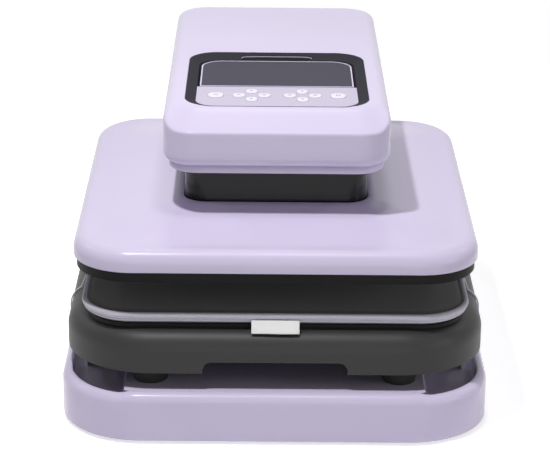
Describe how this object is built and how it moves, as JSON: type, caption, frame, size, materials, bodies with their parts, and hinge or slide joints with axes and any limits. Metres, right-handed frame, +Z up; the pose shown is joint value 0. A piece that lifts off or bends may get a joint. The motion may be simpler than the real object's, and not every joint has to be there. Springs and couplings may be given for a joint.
{
  "type": "flat heat press",
  "caption": "Flat heat press with a pull-out padded drawer, a powered lowering platen, a rear column and an overhanging head with a sunk control console.",
  "frame": {"origin": "bottom centre of the whole part, on the plane of its rubber feet", "axes": "+X to the right seen from the front, the front faces -Y, +Z up"},
  "size_m": [0.427, 0.525, 0.313],
  "materials": {
    "lilac": "satin",
    "charcoal": "matte",
    "black": "matte",
    "neck_gloss": "glossy",
    "steel": "satin",
    "heat_coat": "satin",
    "rubber": "matte",
    "pad_fabric": "matte",
    "binding_fabric": "satin",
    "tag_fabric": "matte",
    "elastic": "matte",
    "brass": "satin",
    "window": "glossy",
    "button": "satin",
    "board": "satin",
    "ceramic": "matte",
    "insulation": "matte",
    "nylon": "satin"
  },
  "bodies": {
    "base": {"base_shell": "lilac", "base_plate": "steel", "base_feet": "rubber", "base_screws": "steel", "deck_beams": "steel", "slide_outer": "steel", "column_frame": "steel", "column_cover": "lilac", "column_front_panel": "lilac", "power_inlet": "black", "inlet_pins": "brass", "switch_frame": "black", "power_supply": "board", "head_frame": "steel", "guide_bushes": "brass", "screw_bearing": "steel", "gear_motor": "steel", "head_upper_shell": "lilac", "head_lower_cover": "lilac", "neck_shroud": "neck_gloss", "console_bezel": "charcoal", "button_plate": "lilac", "control_board": "board"},
    "drawer": {"drawer_body": "charcoal", "lower_plate": "black", "press_pad": "pad_fabric", "pad_binding": "binding_fabric", "pad_tag": "tag_fabric", "pad_straps": "elastic", "drawer_feet": "rubber", "slide_inner": "steel"},
    "slide_middle": {"slide_mid": "steel"},
    "platen": {"platen_cover": "lilac", "platen_rim": "black", "heat_plate": "heat_coat", "heating_element": "steel", "insulation_board": "insulation", "carrier_plate": "steel", "guide_posts": "steel", "screw_nut": "brass", "stand_offs": "ceramic", "platen_screws": "steel"},
    "screw": {"lead_screw": "steel", "drive_gear": "nylon"},
    "pinion": {"motor_pinion": "steel"},
    "display": {"display_frame": "lilac", "display_window": "window"},
    "rocker": {"power_rocker": "black"},
    "button_left_end": {"button_left_end": "button"},
    "button_left_rear": {"button_left_rear": "button"},
    "button_left_front": {"button_left_front": "button"},
    "button_left_outer": {"button_left_outer": "button"},
    "button_left_inner": {"button_left_inner": "button"},
    "button_right_rear": {"button_right_rear": "button"},
    "button_right_front": {"button_right_front": "button"},
    "button_right_inner": {"button_right_inner": "button"},
    "button_right_outer": {"button_right_outer": "button"},
    "button_right_end": {"button_right_end": "button"}
  },
  "joints": [
    {"name": "drawer_slide", "type": "slide", "parent": "base", "child": "drawer", "axis": [0, -1, 0], "range_m": [0, 0.3]},
    {"name": "slide_middle_travel", "type": "slide", "parent": "base", "child": "slide_middle", "axis": [0, -1, 0], "range_m": [0, 0.151]},
    {"name": "platen_press", "type": "slide", "parent": "base", "child": "platen", "axis": [0, 0, -1], "range_m": [0, 0.03]},
    {"name": "screw_spin", "type": "hinge", "parent": "base", "child": "screw", "pos_m": [0, -0.0425, 0.26], "axis": [0, 0, 1], "range_deg": [0, 1086]},
    {"name": "pinion_spin", "type": "hinge", "parent": "base", "child": "pinion", "pos_m": [0, 0.0115, 0.26], "axis": [0, 0, 1], "range_deg": [-3258, 0]},
    {"name": "display_tilt", "type": "hinge", "parent": "base", "child": "display", "pos_m": [0, -0.065, 0.3065], "axis": [1, 0, 0], "range_deg": [0, 60]},
    {"name": "rocker_tilt", "type": "hinge", "parent": "base", "child": "rocker", "pos_m": [0.038, 0.2525, 0.088], "axis": [1, 0, 0], "range_deg": [0, 14]},
    {"name": "button_left_end_press", "type": "slide", "parent": "base", "child": "button_left_end", "axis": [0, 0, -1], "range_m": [0, 0.0008], "stiffness_N_per_m": 400, "springref_m": -0.0004},
    {"name": "button_left_rear_press", "type": "slide", "parent": "base", "child": "button_left_rear", "axis": [0, 0, -1], "range_m": [0, 0.0008], "stiffness_N_per_m": 400, "springref_m": -0.0004},
    {"name": "button_left_front_press", "type": "slide", "parent": "base", "child": "button_left_front", "axis": [0, 0, -1], "range_m": [0, 0.0008], "stiffness_N_per_m": 400, "springref_m": -0.0004},
    {"name": "button_left_outer_press", "type": "slide", "parent": "base", "child": "button_left_outer", "axis": [0, 0, -1], "range_m": [0, 0.0008], "stiffness_N_per_m": 400, "springref_m": -0.0004},
    {"name": "button_left_inner_press", "type": "slide", "parent": "base", "child": "button_left_inner", "axis": [0, 0, -1], "range_m": [0, 0.0008], "stiffness_N_per_m": 400, "springref_m": -0.0004},
    {"name": "button_right_rear_press", "type": "slide", "parent": "base", "child": "button_right_rear", "axis": [0, 0, -1], "range_m": [0, 0.0008], "stiffness_N_per_m": 400, "springref_m": -0.0004},
    {"name": "button_right_front_press", "type": "slide", "parent": "base", "child": "button_right_front", "axis": [0, 0, -1], "range_m": [0, 0.0008], "stiffness_N_per_m": 400, "springref_m": -0.0004},
    {"name": "button_right_inner_press", "type": "slide", "parent": "base", "child": "button_right_inner", "axis": [0, 0, -1], "range_m": [0, 0.0008], "stiffness_N_per_m": 400, "springref_m": -0.0004},
    {"name": "button_right_outer_press", "type": "slide", "parent": "base", "child": "button_right_outer", "axis": [0, 0, -1], "range_m": [0, 0.0008], "stiffness_N_per_m": 400, "springref_m": -0.0004},
    {"name": "button_right_end_press", "type": "slide", "parent": "base", "child": "button_right_end", "axis": [0, 0, -1], "range_m": [0, 0.0008], "stiffness_N_per_m": 400, "springref_m": -0.0004}
  ],
  "couplings": [
    {"joint": "slide_middle_travel", "follows": "drawer_slide", "ratio": 0.5},
    {"joint": "screw_spin", "follows": "platen_press", "rad_per_m": 628.32},
    {"joint": "pinion_spin", "follows": "platen_press", "rad_per_m": -1885}
  ]
}
